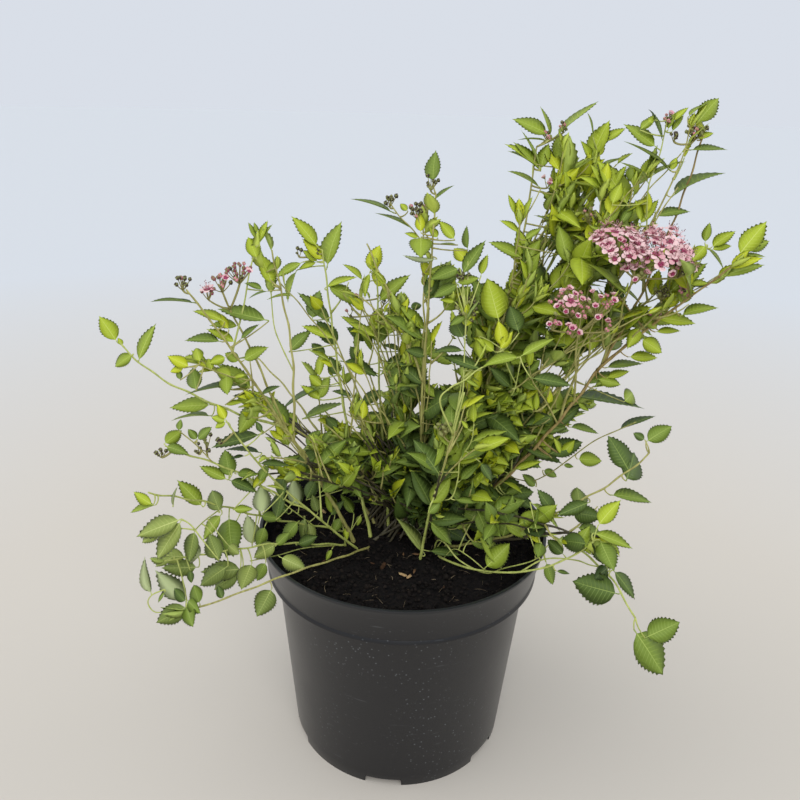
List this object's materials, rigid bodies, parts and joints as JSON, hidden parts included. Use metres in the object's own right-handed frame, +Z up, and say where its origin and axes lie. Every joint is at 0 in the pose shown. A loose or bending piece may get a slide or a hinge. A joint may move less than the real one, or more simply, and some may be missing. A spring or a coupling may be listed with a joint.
{
  "type": "potted spirea shrub in flower",
  "caption": "Young flowering spirea shrub in a round black nursery pot, with thin arching stems, toothed green leaves and flat pink blossom heads",
  "frame": {"origin": "centre of the pot's flat underside, on the surface it stands on", "axes": "+Z up along the pot's axis, -Y to the front, where the compost shows and the plant is open, +X to the right, towards the tallest shoots"},
  "size_m": [0.376, 0.2822, 0.4263],
  "materials": {
    "pot_plastic": "satin black moulded plastic with light scuffs and dust",
    "compost": "damp dark peat with crumbs, pale chips of wood and fibres",
    "stem_bark": "thin smooth bark, yellow-green on young shoots and reddish brown on old ones",
    "foliage": "soft matte leaves, yellow-green at the tips and dark green inside",
    "blossom": "pale pink petals with magenta centres, and olive-brown buds"
  },
  "bodies": {
    "root": {"blossom_left": "blossom", "blossom_main": "blossom", "blossom_small": "blossom", "bough_blossom_left": "stem_bark", "bough_blossom_main": "stem_bark", "bough_blossom_small": "stem_bark", "bough_centre_left": "stem_bark", "bough_far_left": "stem_bark", "bough_far_right": "stem_bark", "bough_left_side": "stem_bark", "bough_right_crest": "stem_bark", "bough_right_droop": "stem_bark", "bough_right_top": "stem_bark", "bough_upper_left": "stem_bark", "leaves_back": "foliage", "leaves_back_left": "foliage", "leaves_back_right": "foliage", "leaves_centre": "foliage", "leaves_centre_left": "foliage", "leaves_far_left": "foliage", "leaves_far_right": "foliage", "leaves_front": "foliage", "leaves_inner_left": "foliage", "leaves_inner_right": "foliage", "leaves_left_flower": "foliage", "leaves_left_hanging": "foliage", "leaves_left_leaf": "foliage", "leaves_left_low": "foliage", "leaves_left_lowest": "foliage", "leaves_left_mid": "foliage", "leaves_left_side": "foliage", "leaves_over_rim": "foliage", "leaves_right_back": "foliage", "leaves_right_crest": "foliage", "leaves_right_droop": "foliage", "leaves_right_low": "foliage", "leaves_right_top": "foliage", "leaves_rosette": "foliage", "leaves_top_right": "foliage", "leaves_upper_left": "foliage", "leaves_yellow_tip": "foliage", "pot": "pot_plastic", "soil": "compost", "stem_back": "stem_bark", "stem_back_left": "stem_bark", "stem_back_right": "stem_bark", "stem_centre": "stem_bark", "stem_front": "stem_bark", "stem_left_flower": "stem_bark", "stem_left_hanging": "stem_bark", "stem_left_leaf": "stem_bark", "stem_left_low": "stem_bark", "stem_left_lowest": "stem_bark", "stem_left_mid": "stem_bark", "stem_over_rim": "stem_bark", "stem_right_back": "stem_bark", "stem_right_low": "stem_bark", "stem_rosette": "stem_bark", "stem_top_right": "stem_bark", "stem_yellow_tip": "stem_bark"}
  },
  "joints": []
}
